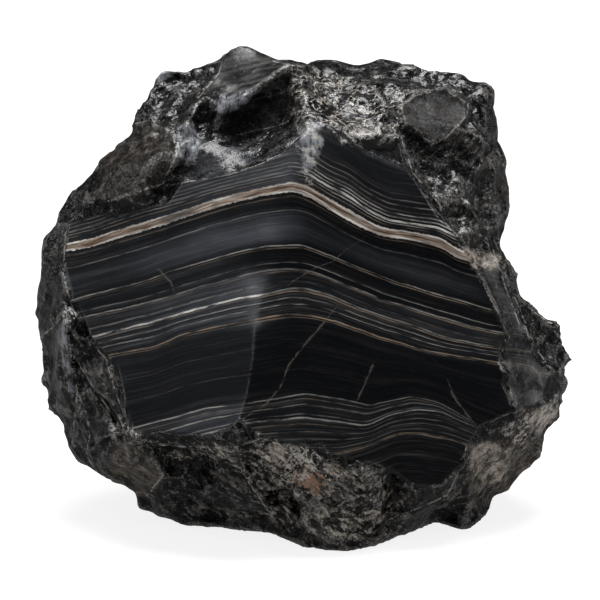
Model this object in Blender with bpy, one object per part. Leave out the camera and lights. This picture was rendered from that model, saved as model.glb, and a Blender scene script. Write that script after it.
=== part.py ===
"""A rough block of banded black onyx, broken from the vein and left as found.

The stone is one solid. It is drawn as a net of ridges: two glossy broken faces meet at a crest,
and chipped, crumbled ground surrounds them. Each ridge point is (x, h, d) in millimetres in the
frame of the broken front: x to the right, h up the front and d into the stone. The whole net is
then leaned back by LEAN, as the stone rests, and cut off flat where it stands.
"""

import math

import bmesh
import bpy
from mathutils import Matrix, Vector, noise
from mathutils.geometry import delaunay_2d_cdt

MM = 0.001
LEAN = math.radians(15.0)
GROUND = 6.6  # height of the resting plane above the net's own zero, after the lean
SMOOTH_LEVELS = 3
WEB_EPSILON = 0.05
LONG_EDGE = 11 * MM  # ridges and webs longer than this are split, so that every scar gets enough points
EAR_HALF = 1.6  # how far a corner of the outline bulges to either side
MOST_TRIANGLES = 9400

CHIPS = ((15.0, 0.36, 1.7), (6.0, 0.24, 9.2))  # size of a scar in mm, strength, shift of the pattern
GRAIN_SIZE = 2.8
GRAIN_DEPTH = 0.2
WAVE_SIZE = 9.0
WAVE_DEPTH = 0.1

# The rounded middle of the crest between the two glossy faces.
CREST_LOW = 45.0
CREST_HIGH = 78.0
CREST_X_LOW = -8.6
CREST_X_HIGH = 1.2
CREST_WIDTH = 7.0
CREST_FADE = 12.0
CREST_PASSES = 40
EVEN_FACETS = 4.0

# Corners (x, h) of the ground that broke smooth, and how much chipping is left on it.
LEFT_FACE = [(-45.2, 65), (-38.4, 66.2), (-32, 66.6), (-26.8, 68.4), (-23.4, 73), (-14, 74.2), (-6.8, 77),
             (-2.8, 79.2), (0.3, 82), (0.2, 74), (-2.4, 63.6), (-7.2, 52.6), (-9.2, 38), (-12, 26.4),
             (-17.8, 23), (-32.6, 23.8), (-35, 31.6), (-36.2, 36.8), (-41.8, 42.8), (-44.6, 49.2), (-46, 54.8)]
RIGHT_FACE = [(0.3, 82), (0.4, 84.4), (5.2, 83.2), (11.4, 81), (19.6, 82), (21.6, 74.2), (28, 64.4),
              (33.6, 55.8), (39.2, 42.4), (38.2, 37.4), (41.4, 27.8), (35, 25), (30, 17.5), (27, 14),
              (22.8, 13.4), (14.4, 17.6), (-7, 23.2), (-12, 26.4), (-9.2, 38), (-7.2, 52.6), (-2.4, 63.6),
              (0.2, 74)]
SIDE_FACET = [(33.6, 55.8), (37.6, 57), (44.4, 41), (50.8, 32.4), (46, 28.4), (41.4, 27.8), (38.2, 37.4),
              (39.2, 42.4)]
BROWN_FACET = [(19.6, 83.4), (18.6, 87), (22, 89.4), (27.6, 91), (32.4, 88.4), (32.4, 85.2), (28, 80.6),
               (25.4, 79.4)]
UPPER_HOLLOW = [(-16.4, 88), (-11.2, 88), (-4, 93.4), (0.4, 86), (-4, 80), (-8, 78), (-17, 78)]
SMOOTH_FACES = ((LEFT_FACE, 0.0), (RIGHT_FACE, 0.0), (SIDE_FACET, 0.25), (BROWN_FACET, 0.3),
                (UPPER_HOLLOW, 0.3))

SOFT = 0.35
SHARP = 1.0

# The widest section of the stone, clockwise from the upper left as it is seen from the front.
OUTLINE = [
    (-35, 81.3, 6), (-34.6, 84.6, 6), (-33.4, 87.2, 7), (-30.6, 89.9, 7), (-30, 91.6, 8),
    (-27.6, 95, 9), (-25, 96, 10), (-20.2, 96.6, 11), (-16, 97, 10), (-14, 99.1, 7),
    (-10.6, 99.8, 8), (-6, 98.9, 10), (-0.4, 96, 12), (4, 96.5, 14), (7, 96.8, 15),
    (10.4, 95.8, 15), (17.4, 95.6, 14), (20.4, 96, 13), (25.4, 95.2, 12), (32.6, 92, 9),
    (36, 91.7, 6), (37.6, 90.2, 5), (38.4, 86.8, 6), (39, 79.8, 7), (39.8, 75.4, 6),
    (41.9, 66.8, 4), (41.3, 60.2, 3), (44.3, 56, 5), (48.6, 50.9, 7), (49.8, 48, 6),
    (52.7, 43.6, 7), (54, 38, 6), (53.8, 34.5, 5), (52.1, 27.4, 6), (49.6, 25.6, 7),
    (46, 18, 8), (40.6, 12.3, 8), (37.1, 9, 6),
    (32.9, 5, -4.8), (30.6, 4.4, -7.1), (26, 6.2, -0.4), (19.9, 4.2, -7.8),
    (12.6, 1.2, -19), (7.6, 0.4, -22), (0, 1.6, -17.5), (-6.3, 4.2, -7.8),
    (-15.8, 5, -4.8), (-21.6, 5.4, -3.3),
    (-29.2, 8, 1), (-31.6, 10.4, 2), (-37.6, 13, 3), (-43.4, 16.9, 3), (-45.8, 20.8, 2),
    (-48, 26, 2), (-49.8, 30, 2), (-51.4, 32.6, 3), (-52.7, 35.6, 4), (-53.1, 44, 5),
    (-53, 51.6, 5), (-51.8, 55.3, 4), (-50, 58.2, 3), (-50.5, 61.4, 4), (-48.8, 67.2, 5),
    (-46.8, 70.2, 5), (-42.6, 73.3, 4), (-39.2, 76, 4), (-36.9, 78.6, 5),
]

# Ridges of the front: (sharpness, points).
FRONT_RIDGES = {
    "crest above the hollow": (SHARP, [(-0.4, 94.8, -3), (0.6, 89, -11.5), (0.5, 86.4, -14.5),
                                       (0.4, 84.4, -17.5), (0.3, 82, -21)]),
    "crest": (SHARP, [(0.3, 82, -21), (0.2, 74, -23.7), (-2.4, 63.6, -25.8), (-7.2, 52.6, -27.3),
                      (-8.4, 46, -28.8), (-9.2, 38, -30.8), (-10.4, 31.4, -32.4), (-12, 26.4, -33.6)]),
    "lip of the hollow": (SHARP, [(-16.4, 88.4, -6), (-15.4, 86.2, -9), (-11.2, 88, -9.5), (-9.6, 89.6, -8.5),
                                  (-4, 93.4, -6), (-0.4, 94.8, -3)]),
    "floor of the hollow": (SHARP, [(-16.8, 81, -8), (-10.4, 82, -5.5), (-4, 83.8, -6), (0.5, 86.4, -14.5)]),
    "left end of the hollow": (SHARP, [(-16.4, 88.4, -6), (-17.6, 85.4, -7.5), (-16.8, 81, -8)]),
    "scar under the hollow": (SHARP, [(0.3, 82, -21), (-2.8, 79.2, -20.9), (-6.8, 77, -20), (-14, 74.2, -17.2),
                                      (-23.4, 73, -13)]),
    "knob left of the hollow": (SHARP, [(-16.4, 88.4, -6), (-20, 88, -5), (-22, 84.4, -8), (-20.4, 79.6, -10.5),
                                        (-23.4, 73, -13)]),
    "top facet": (SHARP, [(-20, 88, -5), (-18, 90.8, -2), (-16, 94, 3), (-14, 99.1, 7)]),
    "top facet upper": (SOFT, [(-10.6, 99.8, 8), (-6.8, 96.4, 5), (-2.8, 95.4, 1), (-0.4, 94.8, -3)]),
    "upper left ledge": (SHARP, [(-34.6, 84.6, 6), (-31, 83.4, 0), (-27, 84.4, -3), (-23.6, 87.2, -2),
                                 (-20, 88, -5)]),
    "shoulder block": (SHARP, [(-31, 83.4, 0), (-29.4, 83.6, -4), (-25.2, 82.4, -7), (-24, 77.6, -12),
                               (-25.6, 73.6, -13.8), (-28, 70.8, -13.2), (-31.6, 69.4, -11.6),
                               (-37.8, 69.6, -8.2), (-43.6, 68.6, -4.6), (-48.8, 67.2, 5)]),
    "foot of the shoulder block": (SHARP, [(-23.4, 73, -13), (-26.8, 68.4, -12.2), (-32, 66.6, -10.1),
                                           (-38.4, 66.2, -7.1), (-45.2, 65, -4), (-48.8, 67.2, 5)]),
    "left edge of the face": (SHARP, [(-45.2, 65, -4), (-45.6, 62.4, -4.6), (-46, 54.8, -7),
                                      (-44.6, 49.2, -9.6), (-41.8, 42.8, -13.2), (-36.2, 36.8, -18),
                                      (-35, 31.6, -20.4), (-32.6, 23.8, -24.2)]),
    "face to left notch": (SHARP, [(-46, 58.6, -5.8), (-50, 58.2, 3)]),
    "left flake": (SHARP, [(-44.6, 49.2, -9.6), (-45.8, 46.8, -9.5), (-49, 45.4, -4), (-53.1, 44, 5)]),
    "left inner rim": (SHARP, [(-45.8, 46.8, -9.5), (-44.6, 41.2, -12), (-44.2, 36.4, -12.5),
                               (-43, 32, -12), (-44, 25.6, -9), (-43, 21.4, -8), (-40.4, 17, -8.5),
                               (-37.2, 14.4, -4), (-37.6, 13, 3)]),
    "left bulge": (SHARP, [(-44.2, 36.4, -12.5), (-47.8, 34.4, -5.5), (-51.4, 32.6, 3)]),
    "left wedge": (SHARP, [(-44.2, 36.4, -12.5), (-41.4, 34.4, -14.5), (-39.4, 29.6, -16), (-36.2, 24.4, -20),
                           (-32.6, 23.8, -24.2)]),
    "left fin": (SHARP, [(-36.2, 24.4, -20), (-39.4, 25, -13), (-41.6, 20.4, -10), (-40.4, 17, -8.5)]),
    "bottom edge of the left face": (SHARP, [(-32.6, 23.8, -24.2), (-27.4, 23.8, -26.8), (-17.8, 23, -31.9),
                                             (-14.6, 25.2, -32.8), (-12, 26.4, -33.6)]),
    "bottom edge of the right face": (SHARP, [(-12, 26.4, -33.6), (-7, 23.2, -31.6), (-2, 21.6, -30.1),
                                              (4, 20.6, -28.2), (8.6, 19.2, -27), (14.4, 17.6, -25.1),
                                              (20, 15.6, -23.5), (22.8, 13.4, -22.8), (27, 14, -21.3),
                                              (30, 17.5, -19.8), (31.6, 21.6, -18.7), (35, 25, -17),
                                              (41.4, 27.8, -14.5)]),
    "right rim below": (SHARP, [(41.4, 27.8, -14.5), (46, 28.4, -9), (50.8, 32.4, -0.5), (53.8, 34.5, 5)]),
    "right edge of the face": (SHARP, [(33.6, 55.8, -13.3), (37.2, 48.6, -13.1), (39.2, 42.4, -13),
                                       (38.2, 37.4, -14.3), (39.8, 33.6, -14.2), (41.4, 27.8, -14.5)]),
    "side facet": (SHARP, [(35.4, 64, -10), (37.6, 57, -9), (40, 50.4, -8), (42.8, 44, -7), (44.4, 41, -6.5),
                           (49, 35.8, -3.5), (50.8, 32.4, -0.5)]),
    "side facet to the notch": (SHARP, [(37.6, 57, -9), (41.3, 60.2, 3)]),
    "right flake": (SHARP, [(40, 50.4, -8), (45.2, 47.4, -2), (49.2, 44.8, 2), (52.7, 43.6, 7)]),
    "granular slope": (SHARP, [(19.6, 83.4, -10), (20.4, 79.6, -13), (21.6, 74.2, -15.5), (24.4, 70.6, -15.6),
                               (27, 67.4, -15), (28, 64.4, -15), (30.6, 60.4, -14.2), (33.6, 55.8, -13.3)]),
    "scallops over the right face": (SHARP, [(0.4, 84.4, -17.5), (5.2, 83.2, -17.5), (7.6, 81.6, -18),
                                             (11.4, 81, -17), (15.4, 82.4, -15), (19.6, 83.4, -10)]),
    "brown facet": (SHARP, [(19.6, 83.4, -10), (18.6, 87, -8), (22, 89.4, -5), (27.6, 91, -2.5),
                            (32.4, 88.4, -2), (32.4, 85.2, -4.5), (28, 80.6, -10), (25.4, 79.4, -11),
                            (19.6, 83.4, -10)]),
    "right shoulder": (SHARP, [(32.4, 88.4, -2), (37.6, 90.2, 5)]),
    "right brow": (SHARP, [(32.4, 85.2, -4.5), (34.6, 79.6, -5), (34.8, 71.6, -8), (35.4, 64, -10)]),
    "right strip": (SHARP, [(34.6, 79.6, -5), (37, 76.6, -1), (38.6, 68, 0), (39.4, 62, -1), (41.3, 60.2, 3)]),
    "top edge of the right": (SOFT, [(-0.4, 94.8, -3), (6, 92.6, -2), (13, 92.2, 0), (20, 92.6, 1),
                                     (27.6, 91, -2.5)]),
    "patch": (SHARP, [(-32.6, 23.8, -24.2), (-30, 20.8, -22.5), (-26.4, 16, -19), (-28, 12.6, -13),
                      (-31.6, 10.4, 2)]),
    "groove right": (SHARP, [(-27.4, 23.8, -26.8), (-23.6, 21.2, -24.5), (-19.6, 17.4, -22),
                             (-18, 12, -15)]),
    "lobe": (SHARP, [(-17.8, 23, -31.9), (-12, 18, -30), (-8.4, 12, -26), (-6.4, 7.8, -17)]),
    "cavity right": (SHARP, [(-2, 21.6, -30.1), (-3.2, 15.6, -28), (0.6, 11.6, -26.8), (2, 6, -23.5),
                             (0, 1.6, -17.5)]),
    "foot": (SHARP, [(0.6, 11.6, -26.8), (8, 12.4, -26.5), (14.6, 9.4, -22.5), (19.6, 7.8, -18),
                     (19.9, 4.2, -7.8)]),
    "foot to the face": (SHARP, [(8, 12.4, -26.5), (8.6, 19.2, -27)]),
    "right buttress": (SHARP, [(31.6, 21.6, -18.7), (30.6, 15.6, -17.5), (28, 11.6, -16), (24, 9.8, -17),
                               (19.6, 7.8, -18)]),
    "right flank": (SHARP, [(30.6, 15.6, -17.5), (36, 18.6, -11.5), (41, 21, -8), (45.4, 21.6, -1),
                            (49.6, 25.6, 7)]),
    "right foot": (SHARP, [(28, 11.6, -16), (32.4, 9, -9), (37.1, 9, 6)]),
}

# Single points that pull a scar in or out between its ridges.
FRONT_HOLLOWS = [
    (-12, 84.6, -5.5), (-7, 86.6, -4.5), (-3, 89.6, -4.5),
    (-9, 79.4, -12.5), (-15, 78.6, -10.5), (-3.4, 81.4, -16),
    (-19.4, 84, -6.5), (-21.9, 77.4, -9.5),
    (-10, 93.4, -1), (-24, 91.6, 5), (-29, 87.6, 4),
    (-31, 76, -10.5), (-38, 74, -4),
    (25, 86, -6.5), (29, 72, -11), (32.6, 64, -12),
    (6, 88, -10), (13, 87.4, -9), (11.6, 77, -18.6), (16.4, 77.6, -17),
    (-49.4, 52, -2), (-49.2, 39.6, -2.5), (-46.8, 29.6, -5),
    (-41, 38.4, -13), (-36.8, 29, -16.5),
    (46, 51.6, 1), (47.8, 40.6, -2), (37.6, 70, -4),
    (-29.6, 17.8, -14.5), (-24.6, 15.4, -14.5), (-35, 16, -12),
    (-13.6, 12, -21), (-4, 10.4, -17), (5, 7, -24.5), (17, 12.4, -18.5), (23.6, 7, -9),
    (38, 15, -5),
]

BACK_RIDGES = {
    "spine": (SHARP, [(8, 92, 19), (4, 78, 31), (-4, 62, 39), (2, 44, 43), (-2, 30, 41), (10, 16, 36.2)]),
    "spine top": (SHARP, [(8, 92, 19), (4, 96.5, 14)]),
    "left shoulder": (SHARP, [(-4, 62, 39), (-24, 60, 33), (-40, 52, 23), (-53.1, 44, 5)]),
    "left haunch": (SHARP, [(-2, 30, 41), (-22, 28, 34), (-38, 26, 20), (-49.8, 30, 2)]),
    "right shoulder": (SHARP, [(4, 78, 31), (22, 74, 27), (34, 66, 17), (41.3, 60.2, 3)]),
    "right haunch": (SHARP, [(2, 44, 43), (24, 46, 37), (42, 44, 23), (54, 38, 6)]),
    "right hip": (SHARP, [(-2, 30, 41), (20, 28, 38), (36, 22, 27), (46, 18, 8)]),
    "upper left": (SHARP, [(4, 78, 31), (-14, 82, 24), (-26, 86, 14), (-33.4, 87.2, 7)]),
    "base": (SHARP, [(-21.6, 5.4, -3.3), (-24, 10.5, 15.7), (-18, 13, 25), (-8, 15.5, 34.4), (10, 16, 36.2),
                     (26, 14, 28.8), (36, 10.5, 15.7), (32.9, 5, -4.8)]),
}
BACK_HOLLOWS = [
    (-24, 72, 26), (-12, 44, 35), (-34, 38, 24), (24, 60, 28), (16, 36, 38), (40, 32, 20), (22, 84, 18),
    (-12, 90, 17), (-30, 18, 18), (30, 16, 26),
]


def leaned(x, h, d):
    """A point of the front's own frame as it stands once the stone leans back."""
    up, away = h * MM, d * MM
    return Vector((
        x * MM,
        up * math.sin(LEAN) + away * math.cos(LEAN),
        up * math.cos(LEAN) - away * math.sin(LEAN) - GROUND * MM,
    ))


def web(ridges, hollows):
    """Stretches triangles between the ridges inside the outline: points, triangles and edge sharpness."""
    points = list(OUTLINE)
    edges = [(i, (i + 1) % len(OUTLINE)) for i in range(len(OUTLINE))]
    sharpness = [SOFT] * len(edges)
    for sharp, line in ridges.values():
        first = len(points)
        points += line
        edges += [(first + i, first + i + 1) for i in range(len(line) - 1)]
        sharpness += [sharp] * (len(line) - 1)
    points += hollows
    flat = [Vector((x, h)) for x, h, _ in points]
    inside = [list(range(len(OUTLINE)))[::-1]]
    spots, out_edges, faces, from_point, from_edge, from_face = delaunay_2d_cdt(
        flat, edges, inside, 0, WEB_EPSILON, True
    )
    lost = [spot for spot, sources in zip(spots, from_point) if not sources]
    if lost:
        raise ValueError(f"ridges cross away from a shared point, at {lost}")
    faces = [face for face, sources in zip(faces, from_face) if sources]
    placed = [points[sources[0]] for sources in from_point]
    creases = {}
    for edge, sources in zip(out_edges, from_edge):
        ridges_here = [sharpness[i] for i in sources if i < len(sharpness)]
        if ridges_here:
            creases[edge] = max(ridges_here)
    return placed, faces, creases


def add_sheet(stone, ridges, hollows, turned):
    """Adds the web of one side to the mesh, its rim on the outline's vertices."""
    placed, faces, creases = web(ridges, hollows)
    edge_crease = stone.edges.layers.float.get("crease_edge") or stone.edges.layers.float.new("crease_edge")
    vert_crease = stone.verts.layers.float.get("crease_vert") or stone.verts.layers.float.new("crease_vert")
    rim = set(OUTLINE)
    verts = []
    for point in placed:
        key = point if point in rim else None
        if key is not None and key in add_sheet.rim:
            verts.append(add_sheet.rim[key])
            continue
        vert = stone.verts.new(leaned(*point))
        if key is not None:
            add_sheet.rim[key] = vert
        verts.append(vert)
    for face in faces:
        corners = [verts[i] for i in face]
        if all(placed[i] in rim for i in face):
            x, h, d = (sum(placed[i][axis] for i in face) / 3 for axis in range(3))
            peak = stone.verts.new(leaned(x, h, d + (EAR_HALF if turned else -EAR_HALF)))
            for a, b in ((0, 1), (1, 2), (2, 0)):
                stone.faces.new((corners[a], corners[b], peak))
            continue
        stone.faces.new(corners)
    for (a, b), sharp in creases.items():
        edge = stone.edges.get((verts[a], verts[b]))
        edge[edge_crease] = sharp
        for vert in edge.verts:
            vert[vert_crease] = max(vert[vert_crease], sharp)


add_sheet.rim = {}


def net_coordinates(spot):
    """Back from where a point stands to (x, h, d) in millimetres: the inverse of leaned()."""
    x, y, z = spot[0] / MM, spot[1] / MM, spot[2] / MM + GROUND
    return x, y * math.sin(LEAN) + z * math.cos(LEAN), y * math.cos(LEAN) - z * math.sin(LEAN)


def distance_outside(x, h, corners):
    """Millimetres from a point to a polygon, negative inside it."""
    here = Vector((x, h))
    nearest = 1e9
    inside = False
    for a, b in zip(corners, corners[1:] + corners[:1]):
        start, run = Vector(a), Vector(b) - Vector(a)
        along = max(0.0, min(1.0, (here - start).dot(run) / run.length_squared))
        nearest = min(nearest, (here - start - run * along).length)
        if (a[1] > h) != (b[1] > h) and x < run.x * (h - a[1]) / run.y + a[0]:
            inside = not inside
    return -nearest if inside else nearest


def roughness_at(x, h, d):
    """0 on the two glossy faces, 1 on chipped ground, and little where the stone stands."""
    rough = 1.0
    if d < 0:
        for corners, amount in SMOOTH_FACES:
            here = max(0.0, min(1.0, 0.25 + distance_outside(x, h, corners) / 2.0))
            rough = min(rough, amount + (1 - amount) * here)
    standing = h * math.cos(LEAN) - d * math.sin(LEAN) - GROUND
    return rough * max(0.0, min(1.0, standing / 1.2))


def drift(spot):
    """A smooth random vector that depends only on the place."""
    aside, above = Vector((31.4, 0, 0)), Vector((0, 47.2, 0))
    return Vector((noise.noise(spot), noise.noise(spot + aside), noise.noise(spot + above)))


def chips(x, h, d, size, shift):
    """Depth of the shell-shaped scars at a point: bowls that meet in ridges, each tipped its own way."""
    bend = drift(Vector((x, h, d)) / (size * 1.4)) * 0.45
    here = Vector((x, h, d)) / size + bend + Vector((shift, shift, shift))
    distances, centres = noise.voronoi(here)
    inner = min(1.0, (distances[1] - distances[0]) / 0.35)
    tip = drift(centres[0] * 3.7).dot(here - centres[0]) * inner
    return size * min(0.55 * distances[0] ** 2 + 0.5 * tip - 0.2, 0.15)


def point_normals(mesh):
    """Normals summed in face order, so that the same stone comes out every time."""
    sums = [Vector() for _ in mesh.vertices]
    for face in mesh.polygons:
        for index in face.vertices:
            sums[index] += face.normal * face.area
    return [total.normalized() for total in sums]


def chip_away(mesh):
    """Moves every point of the fine mesh in by its scars, along its own normal."""
    moves = []
    for vert, normal in zip(mesh.vertices, point_normals(mesh)):
        x, h, d = net_coordinates(vert.co)
        rough = roughness_at(x, h, d)
        depth = sum(amount * chips(x, h, d, size, shift) for size, amount, shift in CHIPS)
        fine = noise.fractal(Vector((x, h, d)) / GRAIN_SIZE, 0.8, 2.1, 3) * GRAIN_DEPTH
        waves = noise.noise(Vector((x * 0.4, h * 2.2, d * 0.4)) / WAVE_SIZE) * WAVE_DEPTH
        moves.append(normal * (rough * (depth + fine) + waves) * MM)
    for vert, move in zip(mesh.vertices, moves):
        vert.co += move


def crest_weights(mesh):
    """How strongly each point belongs to the middle of the crest, by point number."""
    near = {}
    for vert in mesh.vertices:
        x, h, d = net_coordinates(vert.co)
        if d < -10 and CREST_LOW < h < CREST_HIGH:
            middle = CREST_X_LOW + (CREST_X_HIGH - CREST_X_LOW) * (h - CREST_LOW) / (CREST_HIGH - CREST_LOW)
            reach = 1 - abs(x - middle) / CREST_WIDTH
            ends = min(h - CREST_LOW, CREST_HIGH - h) / CREST_FADE
            if reach > 0:
                near[vert.index] = min(1.0, reach * 1.5) * min(1.0, ends)
    return near


def soften_crest(mesh, near):
    """Relaxes the middle of the crest, which is rounded while its two ends are crisp."""
    links = {index: [] for index in near}
    for edge in mesh.edges:
        a, b = edge.vertices
        if a in links:
            links[a].append(b)
        if b in links:
            links[b].append(a)
    for _ in range(CREST_PASSES):
        spots = {}
        for index, weight in near.items():
            mean = sum((mesh.vertices[i].co for i in links[index]), Vector()) / len(links[index])
            spots[index] = mesh.vertices[index].co.lerp(mean, weight)
        for index, spot in spots.items():
            mesh.vertices[index].co = spot


def evaluated(obj):
    """The mesh that the object's modifiers make, as a new mesh of its own."""
    bpy.context.view_layer.update()
    return bpy.data.meshes.new_from_object(obj.evaluated_get(bpy.context.evaluated_depsgraph_get()))


def swap_mesh(obj, mesh):
    old = obj.data
    obj.modifiers.clear()
    obj.data = mesh
    bpy.data.meshes.remove(old)


def stand_flat(mesh):
    """Cuts the stone off level where it rests and closes the cut."""
    stone = bmesh.new()
    stone.from_mesh(mesh)
    whole = stone.verts[:] + stone.edges[:] + stone.faces[:]
    cut = bmesh.ops.bisect_plane(stone, geom=whole, dist=1e-6, plane_co=(0, 0, 0), plane_no=(0, 0, 1),
                                 clear_inner=True)
    rim = [item for item in cut["geom_cut"] if isinstance(item, bmesh.types.BMEdge)]
    for vert in {vert for edge in rim for vert in edge.verts}:
        vert.co.z = 0.0
    bmesh.ops.contextual_create(stone, geom=rim)
    bmesh.ops.triangulate(stone, faces=stone.faces)
    bmesh.ops.recalc_face_normals(stone, faces=stone.faces)
    stone.to_mesh(mesh)
    stone.free()


def centre(mesh):
    """Puts the middle of the stone's box over the origin, with its flat at z = 0."""
    xs = [vert.co.x for vert in mesh.vertices]
    ys = [vert.co.y for vert in mesh.vertices]
    middle = Vector(((min(xs) + max(xs)) / 2, (min(ys) + max(ys)) / 2, 0))
    mesh.transform(Matrix.Translation(-middle))


def onyx():
    """The stone itself: near-black, glossy where it broke clean."""
    material = bpy.data.materials.new("black_onyx")
    material.use_nodes = True
    shader = material.node_tree.nodes["Principled BSDF"]
    shader.inputs["Base Color"].default_value = (0.016, 0.016, 0.018, 1.0)
    shader.inputs["Roughness"].default_value = 0.35
    shader.inputs["Metallic"].default_value = 0.0
    return material


def clear_scene():
    for obj in list(bpy.data.objects):
        bpy.data.objects.remove(obj)


def main():
    clear_scene()
    stone = bmesh.new()
    stone.edges.layers.float.new("crease_edge")
    stone.verts.layers.float.new("crease_vert")
    add_sheet(stone, FRONT_RIDGES, FRONT_HOLLOWS, turned=False)
    add_sheet(stone, BACK_RIDGES, BACK_HOLLOWS, turned=True)
    bmesh.ops.recalc_face_normals(stone, faces=stone.faces)
    long_edges = [edge for edge in stone.edges if edge.calc_length() > LONG_EDGE]
    bmesh.ops.subdivide_edges(stone, edges=long_edges, cuts=1)
    bmesh.ops.triangulate(stone, faces=stone.faces)
    mesh = bpy.data.meshes.new("onyx_stone")
    stone.to_mesh(mesh)
    stone.free()
    obj = bpy.data.objects.new("onyx_stone", mesh)
    bpy.context.scene.collection.objects.link(obj)
    smooth = obj.modifiers.new("smooth scars", "SUBSURF")
    smooth.levels = smooth.render_levels = SMOOTH_LEVELS
    swap_mesh(obj, evaluated(obj))
    near = crest_weights(obj.data)
    soften_crest(obj.data, near)
    chip_away(obj.data)
    even = obj.vertex_groups.new(name="even facets")
    for index, weight in near.items():
        even.add([index], weight, "REPLACE")
    fewer = obj.modifiers.new("fewer facets", "DECIMATE")
    fewer.vertex_group = even.name
    fewer.vertex_group_factor = EVEN_FACETS
    fewer.invert_vertex_group = True
    fewer.ratio = MOST_TRIANGLES / sum(len(face.vertices) - 2 for face in obj.data.polygons)
    swap_mesh(obj, evaluated(obj))
    obj.vertex_groups.clear()
    stand_flat(obj.data)
    centre(obj.data)
    obj.data.name = "onyx_stone"
    obj.data.materials.append(onyx())
    print("stone", len(obj.data.vertices), "points", len(obj.data.polygons), "triangles")


main()
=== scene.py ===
# %% [markdown]
# # A rough block of banded black onyx
#
# Onyx is quartz that was laid down in thin layers. This block was broken out of its vein: two faces
# split clean and shine, and the ground around them is chipped, crumbled and stained. The lesson takes
# the plain solid of the stone, gives it the fine relief of broken quartz, and then paints its layers.

import itertools
import math

import bpy
import numpy as np
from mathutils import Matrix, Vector


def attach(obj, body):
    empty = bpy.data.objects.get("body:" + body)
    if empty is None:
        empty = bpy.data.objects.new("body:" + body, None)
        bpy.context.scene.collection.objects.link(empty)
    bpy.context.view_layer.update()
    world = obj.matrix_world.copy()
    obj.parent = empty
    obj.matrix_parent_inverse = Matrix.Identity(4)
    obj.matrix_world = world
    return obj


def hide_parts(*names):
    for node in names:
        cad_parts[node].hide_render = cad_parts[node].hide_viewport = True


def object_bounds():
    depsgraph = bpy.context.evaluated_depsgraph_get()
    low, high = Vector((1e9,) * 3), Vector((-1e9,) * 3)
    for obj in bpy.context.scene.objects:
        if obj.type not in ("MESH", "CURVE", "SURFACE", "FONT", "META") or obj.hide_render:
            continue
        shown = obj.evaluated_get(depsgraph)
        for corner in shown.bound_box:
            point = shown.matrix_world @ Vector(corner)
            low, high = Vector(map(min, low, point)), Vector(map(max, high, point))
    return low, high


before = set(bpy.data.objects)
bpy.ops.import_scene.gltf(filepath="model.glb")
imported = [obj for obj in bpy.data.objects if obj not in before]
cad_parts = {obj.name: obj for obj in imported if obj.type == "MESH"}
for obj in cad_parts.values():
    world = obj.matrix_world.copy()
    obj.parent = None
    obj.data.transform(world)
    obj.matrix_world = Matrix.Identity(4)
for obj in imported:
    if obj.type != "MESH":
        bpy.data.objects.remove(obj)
solid_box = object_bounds()
print("solid, mm:", [round((high - low) * 1000, 1) for low, high in zip(*solid_box)])

# %% [markdown]
# The stone leans back a little, so its front is easier to think of square on: x to the right, h up the
# front and d into the stone, all in millimetres. Every place below is named in this frame of the front.
# Turning each point of the mesh into it is two dot products, which numpy does for all points at once.

# %% The frame of the front
MM = 0.001
LEAN = math.radians(15.0)
GROUND = 6.6
MIDDLE_X = 0.6087
MIDDLE_Y = 14.3522


def points_of(mesh):
    """All points of a mesh as rows of numbers, in metres."""
    rows = np.empty(len(mesh.vertices) * 3)
    mesh.vertices.foreach_get("co", rows)
    return rows.reshape(-1, 3)


def on_front(rows):
    """x, h and d of each point, in millimetres."""
    x = rows[:, 0] / MM + MIDDLE_X
    y = rows[:, 1] / MM + MIDDLE_Y
    z = rows[:, 2] / MM + GROUND
    return x, y * math.sin(LEAN) + z * math.cos(LEAN), y * math.cos(LEAN) - z * math.sin(LEAN)


# %% [markdown]
# The relief of the stone needs evenly spread points, and the solid has large triangles where it is flat
# and small ones where it is not. A copy of it is merged and remeshed on a fine grid, as clay would be
# rolled out again before the details go in. The copy stands for the solid from here on.

# %% An even skin over the solid
GRID = 0.46 * MM
SAME_POINT = 0.01 * MM


def only(piece):
    """Selects one object and nothing else."""
    bpy.ops.object.select_all(action="DESELECT")
    piece.select_set(True)
    bpy.context.view_layer.objects.active = piece


def finish_modifier(piece, kind, name, **settings):
    """Adds a modifier, sets it and applies it."""
    modifier = piece.modifiers.new(name, kind)
    for key, value in settings.items():
        setattr(modifier, key, value)
    only(piece)
    bpy.ops.object.modifier_apply(modifier=name)


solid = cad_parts["onyx_stone"]
stone = solid.copy()
stone.data = solid.data.copy()
stone.name = stone.data.name = "banded_onyx"
stone.parent = None
stone.matrix_world.identity()
bpy.context.scene.collection.objects.link(stone)
stone.data.materials.clear()
only(stone)
bpy.ops.object.mode_set(mode="EDIT")
bpy.ops.mesh.select_all(action="SELECT")
bpy.ops.mesh.remove_doubles(threshold=SAME_POINT)
bpy.ops.object.mode_set(mode="OBJECT")
finish_modifier(stone, "REMESH", "even skin", mode="VOXEL", voxel_size=GRID, use_smooth_shade=True)
print("skin:", len(stone.data.vertices), "points,", len(stone.data.polygons), "faces")

# %% [markdown]
# Broken quartz has several kinds of ground: clean split faces, shell-shaped chips, sugary crumble and
# crushed ridges. Each is kept as the corners of its patch on the front, so that relief and colour can
# both follow it. Some patches are calmer than others: a calmness of 1 keeps a patch as flat as the solid,
# and 0 gives it all the relief.

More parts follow.
